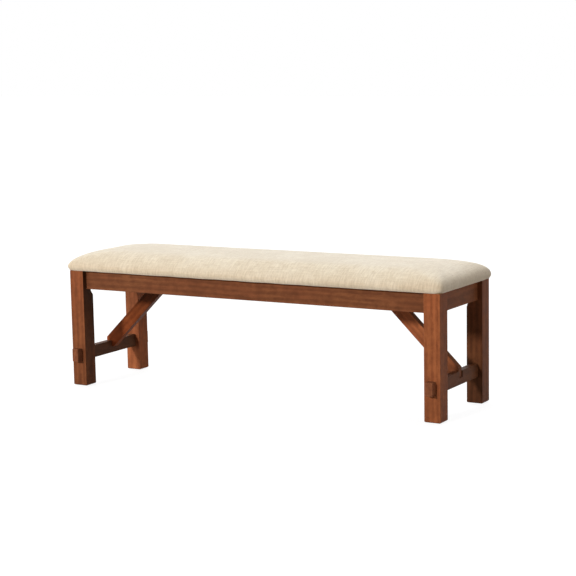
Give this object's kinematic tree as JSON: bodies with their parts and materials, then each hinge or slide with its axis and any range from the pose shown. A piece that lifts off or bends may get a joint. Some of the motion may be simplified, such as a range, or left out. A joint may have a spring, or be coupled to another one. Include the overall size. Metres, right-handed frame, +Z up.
{
  "type": "upholstered bench",
  "caption": "Long backless bench: padded linen seat on a dark stained wooden frame with square legs, through-tenoned end stretchers and slanting braces.",
  "frame": {"origin": "on the floor under the middle of the bench", "axes": "+X along the bench towards its right end as seen from the front, +Y to the back, +Z up"},
  "size_m": [1.473, 0.436, 0.4895],
  "materials": {
    "stained_wood": "satin reddish-brown stain",
    "plain_wood": "unfinished hardwood",
    "plywood": "plain veneer",
    "foam": "open-cell foam",
    "cover_cloth": "oatmeal linen weave",
    "dust_cloth": "thin black non-woven cloth",
    "zinc_steel": "zinc plated",
    "glide_plastic": "smooth"
  },
  "bodies": {
    "root": {"front_left_leg": "stained_wood", "front_left_corner_block": "plain_wood", "front_right_leg": "stained_wood", "front_right_corner_block": "plain_wood", "front_apron": "stained_wood", "back_left_leg": "stained_wood", "back_left_corner_block": "plain_wood", "back_right_leg": "stained_wood", "back_right_corner_block": "plain_wood", "back_apron": "stained_wood", "left_apron": "stained_wood", "left_stretcher": "stained_wood", "left_brace": "stained_wood", "left_cross_rail": "plain_wood", "right_apron": "stained_wood", "right_stretcher": "stained_wood", "right_brace": "stained_wood", "right_cross_rail": "plain_wood", "hanger_bolts": "zinc_steel", "hanger_washers": "zinc_steel", "hanger_nuts": "zinc_steel", "corner_block_screws": "zinc_steel", "brace_head_screws": "zinc_steel", "brace_foot_screws": "zinc_steel", "seat_screws": "zinc_steel", "leg_glides": "glide_plastic", "seat_board": "plywood", "seat_foam": "foam", "seat_cover": "cover_cloth", "dust_cloth": "dust_cloth"}
  },
  "joints": []
}
